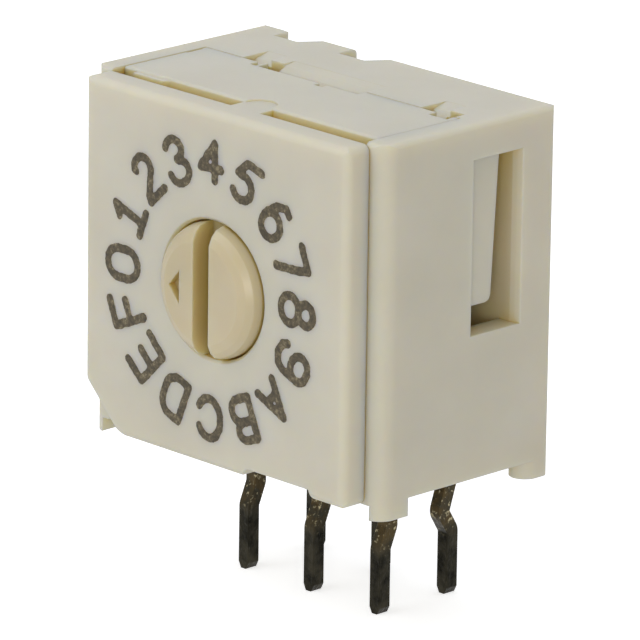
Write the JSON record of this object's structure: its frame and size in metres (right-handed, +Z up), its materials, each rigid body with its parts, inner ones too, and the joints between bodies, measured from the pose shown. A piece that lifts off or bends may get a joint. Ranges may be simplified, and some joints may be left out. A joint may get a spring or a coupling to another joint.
{
  "type": "rotary code switch",
  "caption": "Right-angle rotary code switch for circuit boards: moulded case, slotted turning rotor with a hexadecimal dial ring, and kinked board pins.",
  "frame": {"origin": "centre of the pin pattern on the surface of the board, where the feet stand", "axes": "+X to the right along the front plate, +Y to the rear, away from the dial, +Z up, away from the board"},
  "size_m": [0.011, 0.0076, 0.0141],
  "materials": {
    "housing_plastic": "satin moulded ivory resin",
    "cover_plastic": "satin moulded ivory resin",
    "rotor_plastic": "satin moulded cream resin",
    "disc_metal": "stamped, gold plated",
    "seal_rubber": "matt black",
    "leaf_steel": "cold rolled",
    "base_plastic": "satin moulded ivory resin",
    "sealing_resin": "cast, glossy",
    "terminal_metal": "stamped bronze, dull tin plating"
  },
  "bodies": {
    "case": {"housing": "housing_plastic", "cover": "cover_plastic", "detent_leaf": "leaf_steel", "base": "base_plastic", "base_resin": "sealing_resin", "terminal_1": "terminal_metal", "terminal_2": "terminal_metal", "terminal_4": "terminal_metal", "terminal_8": "terminal_metal", "terminal_common": "terminal_metal"},
    "rotor": {"rotor": "rotor_plastic", "code_disc": "disc_metal", "ring_seal": "seal_rubber"}
  },
  "joints": [
    {"name": "rotor_turn", "type": "hinge", "parent": "case", "child": "rotor", "pos_m": [0, -0.00502, 0.00528], "axis": [0, 1, 0], "continuous": true, "deforming": ["detent_leaf"]}
  ]
}
